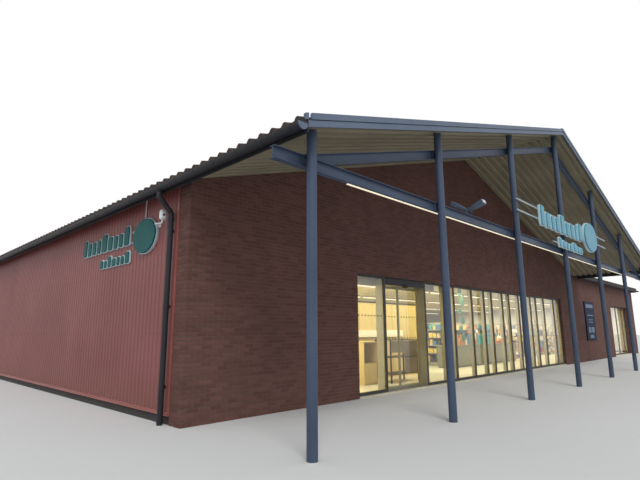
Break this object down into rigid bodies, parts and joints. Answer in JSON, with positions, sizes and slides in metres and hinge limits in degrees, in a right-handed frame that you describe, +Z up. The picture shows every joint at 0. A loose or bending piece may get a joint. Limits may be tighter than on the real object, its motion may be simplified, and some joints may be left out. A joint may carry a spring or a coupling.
{
  "type": "supermarket building",
  "caption": "Single-storey supermarket with a tiled hipped roof, a wide front gable on steel posts, brick front, glazed shopfront and a sliding entrance door.",
  "frame": {"origin": "bottom centre of the bounding box, on the ground", "axes": "+X along the front to the right, +Y from the entrance into the building, +Z up"},
  "size_m": [35.428, 25.288, 7.725],
  "materials": {
    "brick": "dark brown-red facing brick, laid in courses",
    "cladding": "oxide-red coated ribbed steel sheet, satin",
    "roof_panel": "roof build-up under dark clay tiles",
    "deck": "cream coated ribbed steel deck, satin",
    "steelwork": "blue-grey painted structural steel, satin",
    "flashing": "blue-grey coated folded steel, satin",
    "gutter": "dark brown-grey coated steel, satin",
    "tile": "dark clay ridge tile, matt",
    "frame": "grey anodised aluminium, satin",
    "glass": "clear float glass",
    "floor": "pale floor tile, satin",
    "ceiling": "white ceiling board, matt",
    "timber": "honey-yellow timber panel, satin",
    "lamp": "white light diffuser",
    "floodlight": "grey cast housing, satin",
    "rail": "pale grey painted steel rail",
    "camera": "white moulded plastic, satin",
    "board": "dark navy sheet, satin",
    "rack": "dark painted steel tube and shelves",
    "shelving": "pale painted steel shelving"
  },
  "bodies": {
    "building": {"back_wall": "cladding", "cabinet": "timber", "ceiling": "ceiling", "counter": "shelving", "display_rack": "rack", "door_header": "frame", "downpipe_left": "gutter", "downpipe_left_rear": "gutter", "downpipe_right": "gutter", "downpipe_right_rear": "gutter", "entrance_screen": "timber", "floodlights": "floodlight", "floor": "floor", "front_gable": "brick", "front_wall_left": "brick", "front_wall_right": "brick", "gutter_back": "gutter", "gutter_front": "gutter", "gutter_left": "gutter", "gutter_porch": "gutter", "gutter_right": "gutter", "light_strip": "lamp", "notice_board": "board", "porch_deck_left": "deck", "porch_deck_right": "deck", "post_1": "steelwork", "post_2": "steelwork", "post_3": "steelwork", "post_4": "steelwork", "post_5": "steelwork", "post_6": "steelwork", "post_7": "steelwork", "rake_beam_left": "steelwork", "rake_beam_right": "steelwork", "ridge_caps": "tile", "roof_back": "roof_panel", "roof_front_right": "roof_panel", "roof_gable_right": "roof_panel", "roof_left": "roof_panel", "roof_right": "roof_panel", "shelving": "shelving", "shopfront_frame": "frame", "shopfront_glass": "glass", "side_light_frame": "frame", "side_light_glass": "glass", "side_wall_left": "cladding", "side_wall_right": "cladding", "sign_rails": "rail", "tie_beam": "steelwork", "verge_left": "flashing", "verge_right": "flashing", "wall_camera": "camera", "window_frame": "frame", "window_glass": "glass"},
    "door_left": {"door_leaf_left": "frame", "door_leaf_left_glass": "glass"},
    "door_right": {"door_leaf_right": "frame", "door_leaf_right_glass": "glass"}
  },
  "joints": [
    {"name": "door_left_slide", "type": "slide", "parent": "building", "child": "door_left", "axis": [-1, 0, 0], "range_m": [0, 0.9]},
    {"name": "door_right_slide", "type": "slide", "parent": "building", "child": "door_right", "axis": [1, 0, 0], "range_m": [0, 0.9]}
  ],
  "couplings": [
    {"joint": "door_right_slide", "follows": "door_left_slide", "ratio": 1}
  ]
}
